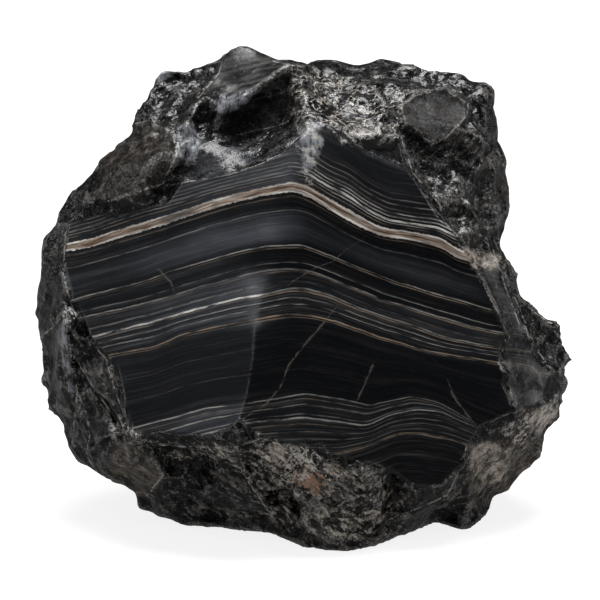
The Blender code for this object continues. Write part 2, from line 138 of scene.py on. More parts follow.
# %% The grounds of the front
BOTH_FACES = [(-45.2, 65), (-38.4, 66.2), (-32, 66.6), (-26.8, 68.4), (-23.4, 73), (-14, 74.2), (-6.8, 77),
              (-2.8, 79.2), (0.3, 82), (0.4, 84.4), (5.2, 83.2), (11.4, 81), (19.6, 82), (21.6, 74.2),
              (28, 64.4), (33.6, 55.8), (39.2, 42.4), (38.2, 37.4), (41.4, 27.8), (35, 25), (30, 17.5),
              (27, 14), (22.8, 13.4), (14.4, 17.6), (-7, 23.2), (-12, 26.4), (-17.8, 23), (-32.6, 23.8),
              (-35, 31.6), (-36.2, 36.8), (-41.8, 42.8), (-44.6, 49.2), (-46, 54.8)]
SIDE_FACET = [(33.6, 55.8), (37.6, 57), (44.4, 41), (50.8, 32.4), (46, 28.4), (41.4, 27.8), (38.2, 37.4),
              (39.2, 42.4)]
BROWN_FACET = [(19.6, 83.4), (18.6, 87), (22, 89.4), (27.6, 91), (32.4, 88.4), (32.4, 85.2), (28, 80.6),
               (25.4, 79.4)]
SCOOP = [(-16.4, 88), (-11.2, 88), (-4, 93.4), (0.4, 86), (-4, 83.8), (-10.4, 82), (-17, 81)]
SHELF = [(-17, 81), (-10.4, 82), (-4, 83.8), (0.4, 86), (0.3, 82), (-6.8, 77), (-14, 74.2), (-23.4, 73)]
CALM = [
    [(-14.4, 99.2), (-7.6, 99.2), (-2, 95.2), (-7.6, 91.2), (-15, 88.6), (-19, 90)],
    [(-38, 22), (-32, 22.8), (-26.4, 16), (-30, 11.6), (-36.4, 12.8), (-40, 16.8)],
    [(-52.2, 42), (-48.2, 44.4), (-45.8, 46.8), (-44.2, 36.4), (-43.2, 32), (-46, 25.6), (-50, 29.6),
     (-52.4, 35.6)],
    [(-43.2, 32), (-41.4, 33.2), (-34.6, 24.8), (-36, 22.4), (-40, 21.6)],
    [(-45.8, 46.8), (-41.8, 42.8), (-36.2, 36.8), (-35, 31.6), (-34, 23.6), (-41.4, 33.2), (-44.2, 39.6)]]
CREST = [(0.4, 84.4), (0.3, 82), (0.2, 74), (-2.4, 63.6), (-7.2, 52.6), (-8.4, 46), (-9.2, 38), (-10.4, 31.4),
         (-12, 26.4)]
CALMNESS = [(SIDE_FACET, 0.8), (BROWN_FACET, 0.8), (SCOOP, 0.8), (SHELF, 0.6)]
CALMNESS += [(patch, 0.65) for patch in CALM]
print("calm patches:", len(CALMNESS))

# %% [markdown]
# Some dark pits and sharp edges can be told apart on the front, one by one. They would not come out of
# chance, so they are drawn: a pit by its corners and its depth, and an edge by the line along its top.

# %% Pits and keen edges
PITS = [
    # depth in millimetres, corners of the pit
    (2.2, [(-32, 22.4), (-26, 21.2), (-19, 19.2), (-17.6, 14), (-20.8, 12), (-25.6, 16.4)]),
    (2.5, [(-6.4, 12.4), (-2, 12.8), (0, 10), (-1.6, 6.4), (-5.6, 7.6)]),
    (1.8, [(-40.6, 32.8), (-37.6, 30.4), (-34.6, 24.8), (-36.4, 24), (-39.2, 28)]),
    (1.5, [(-45.6, 49.6), (-43.2, 48.4), (-41, 43.6), (-41.6, 40.6), (-44, 43.6)]),
    (1.2, [(-52.2, 42), (-48.4, 43.2), (-47.6, 37.6), (-48.8, 32), (-51.6, 35.2)]),
    (1.8, [(-21.8, 85.6), (-19, 87.8), (-16.6, 86), (-17.2, 80.4), (-20.8, 79.2)]),
    (1.5, [(10.4, 79.6), (15.6, 80.8), (19.2, 80.4), (21.2, 74.4), (17, 76), (12.4, 78)]),
    (1.1, [(14.4, 16), (17.2, 17.6), (19.8, 15.2), (18.6, 12.4), (19.4, 9.2), (15.6, 8.4), (16.2, 12)]),
    (1.5, [(41.2, 58.4), (46, 55.6), (50, 49.6), (50.4, 45.2), (46, 47.2), (42.4, 50.4)]),
    (1.2, [(18.8, 81.6), (21.6, 79.6), (22, 74), (20, 75.6)])]
KEEN_EDGES = [
    [(-45.8, 46.8), (-44.6, 41.2), (-44.2, 36.4), (-43.2, 32), (-44, 25.6), (-44.4, 21.6)],
    [(-52.6, 40.8), (-48.2, 44.4), (-45.8, 46.8)],
    [(-43.2, 32), (-41.4, 27.6), (-40.8, 23.6), (-41.6, 19.6), (-40, 16.8), (-37.2, 14), (-34.4, 11.2),
     (-30, 9.6)],
    [(-44, 39), (-40.6, 33.6), (-37, 28.6), (-34, 24)],
    [(-38, 39.2), (-35.8, 32), (-34, 27.6), (-32.6, 23.6)],
    [(-32, 22.8), (-26.4, 16), (-30, 11.6)],
    [(-20, 20.4), (-12, 17.6), (-8, 11.6), (-5.6, 7.6)],
    [(-17, 21.6), (-9, 19.2), (-3, 15.6), (0.6, 12.4)],
    [(-32.6, 23.6), (-26.4, 21.6), (-19, 21.4), (-12, 21.6), (-7.6, 23.2), (0, 20.6)],
    [(19.6, 8.4), (24.4, 10.4), (28, 12), (30, 16), (31.6, 21.2)],
    [(41.2, 50.4), (43.2, 45.6), (44, 42), (46.8, 38.4), (49.6, 34.4), (51, 31.6)],
    [(42.4, 49.6), (45.2, 47.2), (49.2, 44.8), (52, 44.8)],
    [(33.6, 56), (36, 50.8), (38.4, 46.4), (39.6, 42.4), (38, 37.6), (40, 33.6), (41.4, 27.6)],
    [(36, 63.6), (37.6, 57.6), (39.6, 51.6), (41.6, 46.4), (42.8, 43.2)],
    [(-12.8, 99.2), (-6.8, 96.4), (-2.8, 95.2), (0, 94.8)],
    [(-14.4, 99.2), (-16, 93.6), (-18.2, 90.8), (-20, 88.6)],
    [(-16.8, 87.2), (-12, 88.8), (-7.6, 91.2), (-2.6, 94.8)],
    [(0, 81.6), (-4, 77.6), (-7.2, 76), (-14, 73.6), (-26.4, 71.6)],
    [(-16.8, 80.8), (-10.4, 82), (-4, 83.6), (0, 85)],
    [(0.4, 85.2), (5.2, 83.2), (8, 80.4), (11.6, 80.2), (15.6, 81.6), (19.2, 81.2), (21.6, 74)],
    [(19.2, 86.8), (22, 89.2), (27.6, 90.4), (32.4, 87.6), (32, 85.2), (27.6, 80.4), (25.6, 79.6),
     (20.4, 82.8), (19.2, 86.8)],
    [(21.6, 74), (26.8, 68), (27.2, 65.2), (30, 61.6), (31.2, 57.6), (33.6, 56)],
    [(-37.8, 82.8), (-30, 84.4), (-24.8, 82), (-24, 77.6), (-26.8, 72), (-33.8, 69.6), (-37.6, 68.6)],
    [(-30.2, 91.6), (-26, 94.6), (-15.6, 96)],
    [(-45.6, 62.4), (-46, 54.8), (-44.6, 49.2), (-41.8, 42.8), (-36.2, 36.8)],
    [(38, 79.6), (39.6, 74.8), (40.8, 70), (41.6, 64.8)]]
print("pits:", len(PITS), "keen edges:", len(KEEN_EDGES))

# %% [markdown]
# Which ground a point is on is a question of distance: how far it is from a line, or how far inside a
# patch. A straight climb over such a distance gives a weight from 0 to 1 with a soft edge. The crest
# between the two clean faces is sharp at its top and at its foot, and worn round in the middle, so only
# the middle is left to be flattened.

# %% Weights of the grounds
FRONT_FADES = (-20, -12)
PATCH_EDGE = (-0.3, 0.9)
FLAT_INSIDE = (0.5, 3)
SHARP_AT_TOP = (72, 82)
SHARP_AT_FOOT = (-66, -36)
STANDS_ABOVE = (0.6, 2.2)
WEIGHT_STEPS = 20


def from_line(x, h, line, closed=False):
    """Distance in millimetres of each point from a line of corners on the front."""
    ends = line[1:] + line[:1] if closed else line[1:]
    nearest = np.full(len(x), 1e9)
    for (ax, ah), (bx, bh) in zip(line, ends):
        run = (bx - ax) ** 2 + (bh - ah) ** 2
        along = np.clip(((x - ax) * (bx - ax) + (h - ah) * (bh - ah)) / run, 0, 1)
        nearest = np.minimum(nearest, np.hypot(x - ax - along * (bx - ax), h - ah - along * (bh - ah)))
    return nearest


def within(x, h, corners):
    """Distance in millimetres of each point inside a patch from its edge, negative outside."""
    inside = np.zeros(len(x), bool)
    for (ax, ah), (bx, bh) in zip(corners, corners[1:] + corners[:1]):
        if ah != bh:
            inside ^= ((ah > h) != (bh > h)) & (x < (bx - ax) * (h - ah) / (bh - ah) + ax)
    edge = from_line(x, h, corners, closed=True)
    return np.where(inside, edge, -edge)


def step(value, low, high):
    """0 below low, 1 above high and a straight climb between."""
    return np.clip((value - low) / (high - low), 0, 1)


def weigh(piece, name, weights):
    """Keeps weights from 0 to 1 as a vertex group."""
    group = piece.vertex_groups.new(name=name)
    for level in range(1, WEIGHT_STEPS + 1):
        chosen = np.flatnonzero(np.round(weights * WEIGHT_STEPS) == level)
        if len(chosen):
            group.add(chosen.tolist(), level / WEIGHT_STEPS, "REPLACE")


x, h, d = on_front(points_of(stone.data))
front = step(-d, *FRONT_FADES)
split = front * step(within(x, h, BOTH_FACES), *PATCH_EDGE)
quiet = np.maximum.reduce([split] + [front * calmness * step(within(x, h, patch), *PATCH_EDGE)
                                     for patch, calmness in CALMNESS])
crisp_top = step(-from_line(x, h, CREST[:3]), -5, -2) * step(h, *SHARP_AT_TOP)
crisp_foot = step(-from_line(x, h, CREST[4:]), -3.5, -0.5) * step(-h, *SHARP_AT_FOOT)
round_crest = 1 - np.clip(crisp_top + crisp_foot, 0, 1)
standing = step(points_of(stone.data)[:, 2] / MM, *STANDS_ABOVE)
rough = (1 - quiet) * standing
weigh(stone, "flatten", split * step(within(x, h, BOTH_FACES), *FLAT_INSIDE) * round_crest)
weigh(stone, "rough", rough)
weigh(stone, "split faces", split)
print("split clean:", int((split > 0.5).sum()), "points")

# %% [markdown]
# Quartz breaks like glass, in shallow bowls that meet in sharp ridges. A Displace modifier's textures
# give bowls with soft rims, so the bowls are reckoned here instead: space is filled with cubes, each cube
# has one seed, each seed opens a bowl, and every point takes the lowest bowl over it. Where two bowls
# meet there is a ridge. Three sizes of cube give flakes, chips and splinters, the smaller ones thicker in
# some places than in others. The drawn pits and keen edges are then pushed in and drawn out.

# %% Relief of the broken ground
# size of the cubes and depth of the bowls, mm; how much of them there is at least
FLAKES = (12, 3.4, 1)
CHIPS = (5.2, 2.2, 0.45)
SPLINTERS = (2.3, 0.85, 0.25)
PATCH_SIZE, PATCH_SEED = 16, 21
MIDDLE_OF_BOWL = 0.55
MOST_PROUD = 0.5
PIT_RIM = 1.6
EDGE_RISE, EDGE_REACH = 0.35, 1.4
FRONT_RELIEF_FADES = (-26, -16)


def normals_of(mesh):
    """The way each point faces, as rows of numbers."""
    rows = np.empty(len(mesh.vertices) * 3)
    mesh.vertices.foreach_get("normal", rows)
    return rows.reshape(-1, 3)


def averaged(mesh, rows, rounds):
    """Rows with each point drawn towards its neighbours, round after round."""
    ends = np.empty(len(mesh.edges) * 2, int)
    mesh.edges.foreach_get("vertices", ends)
    one, two = ends.reshape(-1, 2).T
    count = np.bincount(np.concatenate((one, two)), minlength=len(rows))
    columns = list(rows.T)
    for _ in range(rounds):
        columns = [0.5 * column + 0.5 / count * (np.bincount(one, column[two], len(column))
                                                 + np.bincount(two, column[one], len(column)))
                   for column in columns]
    return np.stack(columns, axis=1)


def bowls(rows, size, seed, unlike=0.4):
    """Height of each point above the bottom of the bowls, about 0 to 1, for cubes of one size."""
    dice = np.random.default_rng(seed)
    cube = np.floor(rows / size).astype(int)
    corner = cube.min(axis=0) - 1
    rolls = dice.random((*(cube.max(axis=0) - corner + 2), 4))
    heights = np.full(len(rows), 9.0)
    for move in itertools.product((-1, 0, 1), repeat=3):
        roll = rolls[tuple((cube + move - corner).T)]
        away = rows / size - cube - move - roll[:, :3]
        heights = np.minimum(heights, (away ** 2).sum(axis=1) + unlike * roll[:, 3])
    return heights


finish_modifier(stone, "SMOOTH", "polish", factor=0.5, iterations=240, vertex_group="flatten")
finish_modifier(stone, "SMOOTH", "ease facets", factor=0.5, iterations=3, vertex_group="rough")
rows = points_of(stone.data)
patchy = step(bowls(rows / MM, PATCH_SIZE, PATCH_SEED), 0.25, 0.6)
sunk = sum((least + (1 - least) * patchy) * depth * (bowls(rows / MM, size, seed) - MIDDLE_OF_BOWL)
           for seed, (size, depth, least) in enumerate((FLAKES, CHIPS, SPLINTERS)))
moved = np.minimum(sunk, MOST_PROUD) * rough
near_front = step(-d, *FRONT_RELIEF_FADES) * standing
for depth, corners in PITS:
    moved -= near_front * depth * step(within(x, h, corners), -0.3, PIT_RIM)
to_edge = np.minimum.reduce([from_line(x, h, line) for line in KEEN_EDGES])
moved += near_front * (1 - 0.7 * split) * EDGE_RISE * step(-to_edge, -EDGE_REACH, 0) ** 2
rows += normals_of(stone.data) * (moved * MM)[:, None]
stone.data.vertices.foreach_set("co", rows.ravel())
stone.data.update()
print("relief, mm:", [round(float(part), 2) for part in np.percentile(moved, (1, 50, 99))])

# %% [markdown]
# The fine grid holds far more triangles than the flat faces need. A Decimate modifier thins it out, most
# of all on the clean faces. The stone then gets its flat foot back, is kept inside the box of the solid,
# and is shaded sharp over every edge that is steeper than a chip's.

# %% Thin out, stand flat and shade
MOST_TRIANGLES = 196000
FOOT = 0.3 * MM
INSIDE_BOX = 0.01 * MM
SHARP_OVER = math.radians(38)

triangles = sum(len(face.vertices) - 2 for face in stone.data.polygons)
finish_modifier(stone, "DECIMATE", "thin out", ratio=MOST_TRIANGLES / triangles, vertex_group="split faces",
                invert_vertex_group=True, vertex_group_factor=4.0, use_collapse_triangulate=True)
low, high = (np.array(corner) for corner in solid_box)
rows = np.clip(points_of(stone.data), low + INSIDE_BOX, high - INSIDE_BOX)
rows[rows[:, 2] < FOOT, 2] = low[2]
stone.data.vertices.foreach_set("co", rows.ravel())
stone.data.update()
only(stone)
bpy.ops.object.shade_smooth_by_angle(angle=SHARP_OVER)
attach(stone, "root")
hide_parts("onyx_stone")
print("triangles:", len(stone.data.polygons), "of", triangles)

# %% [markdown]
# The layers of the onyx run through the whole block and show as lines where a face cuts them. A few of
# them are drawn on the front, each named by its height on the crest, and every point takes its own
# height in the pile from the drawn layers above and below it. One number a point is enough to paint
# any band, on the front, the sides and the back alike. Behind the front the layers lie nearly flat.

# %% The pile of layers
DRAWN_LAYERS = [
    (74.4, [(-56, 59.8), (-46, 62.4), (-40.4, 63.8), (-30, 67.2), (-17, 71), (-8, 73.2), (-1.8, 74.6),
            (1.2, 74), (5, 71.4), (9, 69.6), (12.8, 66.8), (16.6, 65), (25.8, 63.6), (30, 61.6),
            (37.6, 60), (54, 56.6)]),
    (71.0, [(-56, 58.2), (-46, 59.8), (-40.4, 60.6), (-30, 63.8), (-17, 68.2), (-8, 70.4), (-1.8, 71.6),
            (1.2, 70.6), (7.6, 66.6), (11.6, 64.4), (15.4, 62.8), (20.4, 62.2), (26.8, 60.8), (30, 58.4),
            (37.6, 56.6), (54, 52.6)]),
    (60.2, [(-56, 47.2), (-44, 49.6), (-26.8, 54.4), (-14, 58.4), (-8, 59.8), (0, 60.2), (7.2, 57.4),
            (17.4, 53.4), (25.8, 50.8), (36, 48), (54, 44.6)]),
    (55.3, [(-56, 43.6), (-43, 46), (-24, 50.6), (-14, 53.6), (-7.6, 55.2), (-3.8, 55.6), (1.2, 55.2),
            (6.4, 53.4), (16, 49.6), (26, 46.4), (36, 43.8), (54, 41.2)]),
    (51.8, [(-56, 39.2), (-38, 42.8), (-32.8, 44.4), (-27.6, 45.6), (-15, 49.2), (-8, 50.4), (-2.6, 51.8),
            (0.4, 51.8), (5.2, 50.6), (10.4, 48.4), (16.6, 46), (22.4, 44.2), (27.4, 42.4), (33.8, 41),
            (43.8, 39.6), (54, 36.4)]),
    (47.0, [(-56, 35.2), (-42, 37.8), (-33.8, 39.8), (-28.8, 40.6), (-22.4, 43.2), (-14, 45), (-8, 46.2),
            (-2.6, 47.2), (1.2, 46.8), (6.4, 45.6), (14.6, 42.6), (21.8, 40.4), (28.8, 39), (38.2, 37.6),
            (42.8, 37.4), (46, 35.8), (54, 32.8)]),
    (31.6, [(-56, 19.2), (-42, 22), (-31.2, 25.2), (-25.4, 26.8), (-17.8, 28.8), (-12, 29.6), (-4.4, 30.6),
            (0.6, 31.6), (7.6, 30.6), (13.2, 29.2), (17.2, 30.2), (21.4, 31), (26, 30), (29, 28.4),
            (34.4, 25.2), (42, 22), (54, 18.6)]),
    (27.6, [(-56, 15.6), (-42, 18), (-30, 20.8), (-20, 23.6), (-10, 26), (0, 27.2), (7, 26.2), (12.6, 25.4),
            (17.2, 27.6), (22.2, 28.6), (26.8, 28.2), (29.8, 26.8), (34.4, 24.8), (42, 21.4), (54, 17.8)]),
    (20.0, [(-56, 9.6), (-42, 12), (-30, 14.8), (-20, 17.2), (-10, 19.2), (0, 19.8), (7.6, 20.2),
            (13.4, 21.8), (18.4, 23.8), (23, 23.8), (29, 22.8), (34.4, 20.8), (42, 17.6), (54, 13.6)])]
CORNER_EASE = 0.8
BEHIND = (10, 60)
SWELL_HEIGHT, SWELL_LENGTH = 2, 17


def height_of(line, x):
    """Height of a drawn layer at each x, with its corners eased."""
    xs, hs = zip(*line)
    return sum(np.interp(x + slide, xs, hs) for slide in (-CORNER_EASE, 0, CORNER_EASE)) / 3


def in_pile(x, h):
    """The height each point would have on the crest, from the drawn layers around it."""
    name, line = DRAWN_LAYERS[0]
    above = height_of(line, x)
    pile = name + h - above
    for next_name, line in DRAWN_LAYERS[1:]:
        below = height_of(line, x)
        between = next_name + (name - next_name) * (h - below) / (above - below)
        pile = np.where(h < above, between, pile)
        name, above = next_name, below
    return np.where(h < above, name + h - above, pile)


def keep(piece, name, values):
    """Keeps one number a point for the material to read."""
    layer = piece.data.attributes.new(name, "FLOAT", "POINT")
    layer.data.foreach_set("value", values.astype(np.float32))


x, h, d = on_front(points_of(stone.data))
deep = step(d, *BEHIND)
drawn = in_pile(x, h)
keep(stone, "pile", drawn * (1 - deep) + (h + SWELL_HEIGHT * np.sin(x / SWELL_LENGTH)) * deep)
print("pile, mm:", round(float(drawn.min()), 1), "to", round(float(drawn.max()), 1))

# %% [markdown]
# Colour follows ground too. Ridges are rubbed pale, partly as a painted glint, patches are crushed white,
# stained brown or rusty or glazed milky blue, partly as a painted bluish sheen, and hair cracks cross the
# split faces. Patches and cracks are kept as distances in millimetres, which stay true between two
# points, so that the material can draw their edges as sharp as it likes.

# %% Crushed, stained and cracked patches
CRUSHED = [
    [(-0.6, 85), (2.4, 85.6), (3, 79.6), (2.4, 71.6), (0.8, 71.2), (-0.6, 79.6)],
    [(5.2, 83), (11.6, 83.2), (19.2, 82.8), (19.8, 81.2), (11.6, 79.6), (8, 80)],
    [(-9, 22.4), (4.4, 21), (4.4, 17.2), (-1.6, 15.6), (-7.6, 19.2)],
    [(38, 24), (46, 28.4), (49.6, 31.2), (51.2, 30), (48, 25.6), (42, 21)],
    [(-36.8, 25.6), (-33.6, 26.4), (-31.6, 23.6), (-36.4, 22)]]
VEINED = [
    [(-2.4, 93.6), (2, 94), (8, 92), (19.6, 89.6), (19.2, 82.8), (11.6, 80.2), (8, 80.4), (4, 83), (-1, 84)],
    [(-0.6, 90), (4.4, 89.6), (6, 84), (4.8, 79.6), (3.4, 71.6), (0.8, 71.2), (0, 79.6)],
    [(-8, 21.6), (2, 20.4), (4, 17), (-4, 14)]]
# Milky quartz; on the lip and the left rim these patches are also a painted bluish sheen.
MILKY_AND_SHEEN = [
    [(-0.4, 83.6), (2.4, 84), (4.2, 80), (3.2, 77), (1.4, 74.2), (0.4, 74.6), (-0.2, 79)],
    [(-17.2, 88), (-15, 89), (-12.2, 89.6), (-8.4, 91), (-9.2, 88.8), (-12.4, 86.4), (-15.4, 85.6)],
    [(-24, 83), (-21, 84), (-19.6, 80), (-20.4, 76.2), (-23.4, 77)],
    [(-29.4, 94), (-27.2, 96), (-24.4, 95.4), (-25, 93), (-28, 92)],
    [(-45.8, 46.4), (-45.2, 41), (-44.6, 36.4), (-43.8, 32), (-45.2, 32), (-46.2, 38), (-47, 43)]]
BROWN = [
    [(-36, 21.6), (-32, 22.4), (-26.4, 16), (-30, 11.6), (-37.6, 14)],
    [(34, 21.6), (49, 28.6), (49.6, 23.6), (44, 16.6), (37.2, 10), (32.4, 9.6), (31.6, 15.6)],
    [(36.8, 79.4), (38.8, 77.6), (42.4, 66.8), (41.2, 64.4), (38.4, 71.6)],
    [(-37.8, 82.8), (-30, 84.4), (-24.8, 82), (-24, 77.6), (-26.8, 72), (-33.8, 68.8), (-40, 69.6)]]
RUST = [[(-7.6, 21.6), (0, 18.6), (4.4, 16.4), (4, 12), (0, 13.6), (-3, 16)]]
PALE = [
    [(31.2, 59.6), (34, 58.8), (38, 57.6), (37.6, 55.4), (33, 56.2)],
    [(32.6, 21.4), (37, 22.2), (40.6, 20), (39, 15), (35.6, 14.2), (33, 17)],
    [(42.6, 27.6), (48.6, 30), (50.4, 27), (46, 23.6)],
    [(-8.4, 21.8), (-4, 22), (-1, 19.6), (-4.6, 18), (-8, 19.6)]]
SUGARY = [
    [(21, 79.6), (26, 79.6), (32, 84.6), (36.8, 79.6), (37.6, 60.6), (31.2, 58.4), (27.2, 64.8),
     (22.4, 73.6)],
    [(-26, 19.6), (-12, 18), (-6, 7.2), (0, 3.6), (16, 3.6), (20, 8.6), (16, 15.6), (0, 20), (-18, 22.4)]]
CRACKS = [
    [(7, 48.8), (4, 44.8), (0.6, 41), (-2.4, 37.2), (-4, 33), (-6.6, 29.8), (-12, 26.4)],
    [(11.8, 61.4), (8.4, 59.2), (6, 57), (2.6, 55.8), (-0.4, 54), (-3, 52.2)],
    [(-27.8, 55.8), (-25, 53), (-24.6, 51.2)],
    [(13.8, 37.2), (12.2, 33.6), (10.8, 30.6)],
    [(28, 34.4), (29, 31.8), (30.6, 29.2), (32.6, 26.8)]]
print("patches:", sum(map(len, (CRUSHED, VEINED, MILKY_AND_SHEEN, BROWN, RUST, PALE, SUGARY))), "cracks:", len(CRACKS))

# %% [markdown]
# The patches are drawn on the front, so each would run straight back through the whole block. Stains are
# cut off behind the front along a wavy line, and the clean faces end where the stone turns away. What
# stands out from its neighbourhood is a ridge when the neighbourhood is small, and a swell when it is wide.

# %% Numbers kept on the points
FAR = 6.0
# height on the crest and half width of the turn from the left to the right face, mm
CREST_IS_SOFT = [(50, 0.35), (54, 1.2), (60, 5), (72, 5), (80, 1)]
FRONT_STOPS = (-22, -14)
STAINS_STOP = (-28, -16)
WAVE_SIZE, WAVE_SEED, WAVE_DEPTH = 14, 31, 14
FACES_US = (0.3, 0.6)
STANDOUTS = (("ridges", 3), ("swells", 100))


def beside(x, h, lines):
    """Distance to the side of the nearest line, below 0 on its right, and far past its ends."""
    nearest = np.full(len(x), 2 * FAR)
    side = np.ones(len(x))
    for line in lines:
        for number, ((ax, ah), (bx, bh)) in enumerate(zip(line, line[1:])):
            length = math.hypot(bx - ax, bh - ah)
            along = ((x - ax) * (bx - ax) + (h - ah) * (bh - ah)) / length
            across = ((bx - ax) * (h - ah) - (bh - ah) * (x - ax)) / length
            past = np.maximum(np.maximum(-along, along - length), 0)
            at_end = ((along < 0) & (number == 0)) | ((along > length) & (number == len(line) - 2))
            away = np.hypot(across, past) + np.where(at_end, 4 * past, 0)
            side = np.where(away < nearest, np.sign(across), side)
            nearest = np.minimum(nearest, away)
    return side * nearest


def stands_out(mesh, rounds):
    """Millimetres that each point stands out from the average of its neighbourhood."""
    rows = points_of(mesh)
    return np.einsum("ij,ij->i", rows - averaged(mesh, rows, rounds), normals_of(mesh)) / MM


front = step(-d, *FRONT_STOPS)
wavy = bowls(points_of(stone.data) / MM, WAVE_SIZE, WAVE_SEED) - MIDDLE_OF_BOWL
stained = step(WAVE_DEPTH * wavy - d, *STAINS_STOP)
towards_us = normals_of(stone.data) @ np.array((0, -math.cos(LEAN), math.sin(LEAN)))
facing = front * step(towards_us, *FACES_US)
for name, patches, share in (
        ("crushed", CRUSHED, stained), ("veined", VEINED, stained), ("milky", MILKY_AND_SHEEN, stained),
        ("brown", BROWN, stained), ("rust", RUST, stained), ("pale", PALE, stained),
        ("sugary", SUGARY, stained), ("clean", [BOTH_FACES], facing), ("brown facet", [BROWN_FACET], front),
        ("faint", [SIDE_FACET, SHELF], facing), ("calm", CALM + [SCOOP, SIDE_FACET], front)):
    inside = np.maximum.reduce([within(x, h, patch) for patch in patches])
    keep(stone, name, np.clip(inside * share - FAR * (1 - share), -FAR, FAR))
crest_x = np.interp(h, [corner[1] for corner in CREST][::-1], [corner[0] for corner in CREST][::-1])
keep(stone, "left of crest", (crest_x - x) / np.interp(h, *zip(*CREST_IS_SOFT)))
for name, lines in (("cracks", CRACKS), ("keen edges", KEEN_EDGES)):
    keep(stone, name, beside(x, h, lines) + 4 * FAR * (1 - front))
for name, rounds in STANDOUTS:
    heights = stands_out(stone.data, rounds)
    keep(stone, name, heights)
    print(name, "mm:", [round(float(part), 2) for part in np.percentile(heights, (1, 10, 50, 90, 99))])

# %% [markdown]
# A material is sums of numbers that change over the surface. A small class wraps the output of a node,
# so that such a sum can be written as one: each sign in it adds a Math node. Anything else, such as a
# noise or a ramp, comes from its one method for nodes.

# %% A class for shader sums


class Flow:
    """The output of a node, to be used in sums like a number."""

    tree = None

    def __init__(self, socket):
        self.socket = socket

    @classmethod
    def node(cls, kind, settings, values, outlet=0):
        """Adds a node: its settings first, then the values or links of its sockets."""
        made = cls.tree.nodes.new(kind)
        for key, value in settings.items():
            if key == "stops":
                cls.set_stops(made.color_ramp.elements, value)
            else:
                setattr(made, key, value)
        for key, value in values.items():
            if isinstance(value, Flow):
                cls.tree.links.new(value.socket, made.inputs[key])
            else:
                made.inputs[key].default_value = value
        return cls(made.outputs[outlet])

    @staticmethod
    def set_stops(elements, stops):
        """Gives a ramp its stops, each a place from 0 to 1 and a grey or a colour."""
        while len(elements) < len(stops):
            elements.new(1.0)
        for element, (place, colour) in zip(elements, stops):
            element.position = place
            element.color = colour if isinstance(colour, tuple) else (colour, colour, colour, 1)

    @classmethod
    def maths(cls, operation, *values):
        return cls.node("ShaderNodeMath", {"operation": operation}, dict(enumerate(values)))

    def other(self, outlet):
        """Another output of the same node."""
        return Flow(self.socket.node.outputs[outlet])

    def __add__(self, other):
        return Flow.maths("ADD", self, other)

    def __sub__(self, other):
        return Flow.maths("SUBTRACT", self, other)

    def __rsub__(self, other):
        return Flow.maths("SUBTRACT", other, self)

    def __mul__(self, other):
        return Flow.maths("MULTIPLY", self, other)

    def __truediv__(self, other):
        return Flow.maths("DIVIDE", self, other)

    def __abs__(self):
        return Flow.maths("ABSOLUTE", self)

    __radd__ = __add__
    __rmul__ = __mul__


# %% [markdown]
# A few short helpers name what the material is made of: a paint, a number kept on the points, a smooth
# climb, noise, random cells and flat facets. Every place in the material is in millimetres on the stone
# itself, so that nothing slides when the stone is turned.

# %% Helpers of the material


def paint(red, green, blue):
    """A colour as a painter reads it off a chart, from 0 to 255, for a shader."""
    linear = [((part / 255 + 0.055) / 1.055) ** 2.4 if part > 10 else part / 255 / 12.92
              for part in (red, green, blue)]
    return (*linear, 1)


def kept(name):
    """A number kept on the points of the mesh."""
    return Flow.node("ShaderNodeAttribute", {"attribute_name": name}, {}, outlet="Fac")


def rise(value, low, high):
    """0 below low, 1 above high and a smooth climb between."""
    return Flow.node("ShaderNodeMapRange", {"interpolation_type": "SMOOTHSTEP"},
                     {"Value": value, "From Min": low, "From Max": high})


def noise(place, scale=1.0, detail=2.0, rough=0.5):
    """Soft noise around 0.5."""
    return Flow.node("ShaderNodeTexNoise", {}, {"Vector": place, "Scale": scale, "Detail": detail,
                                                "Roughness": rough})


def cells(place, size, outlet, feature="F1"):
    """Cells of random shape and of one size in millimetres."""
    return Flow.node("ShaderNodeTexVoronoi", {"feature": feature}, {"Vector": place, "Scale": 1 / size},
                     outlet=outlet)


def facets(place, size):
    """Height in millimetres of flat facets, each tilted its own way."""
    hue = cells(place, size, "Color")
    tilt = Flow.node("ShaderNodeVectorMath", {"operation": "SUBTRACT"}, {0: hue, 1: (0.5, 0.5, 0.5)})
    away = Flow.node("ShaderNodeVectorMath", {"operation": "SUBTRACT"}, {0: place, 1: hue.other("Position")})
    return Flow.node("ShaderNodeVectorMath", {"operation": "DOT_PRODUCT"}, {0: tilt, 1: away}, outlet="Value")


def mix(factor, under, over):
    """One colour laid over another."""
    return Flow.node("ShaderNodeMix", {"data_type": "RGBA"}, {0: factor, 6: under, 7: over}, outlet=2)


def place_at(one, two, three):
    """A place made of three numbers."""
    return Flow.node("ShaderNodeCombineXYZ", {}, {0: one, 1: two, 2: three})


onyx = bpy.data.materials.new("banded_black_onyx")
onyx.use_nodes = True
Flow.tree = onyx.node_tree
spot = Flow.node("ShaderNodeVectorMath", {"operation": "SCALE"},
                 {0: Flow.node("ShaderNodeTexCoord", {}, {}, outlet="Object"), "Scale": 1 / MM})
across = Flow.node("ShaderNodeSeparateXYZ", {}, {0: spot}, outlet="X")
inward = Flow.node("ShaderNodeSeparateXYZ", {}, {0: spot}, outlet="Y")
print("a place in the material is in millimetres")
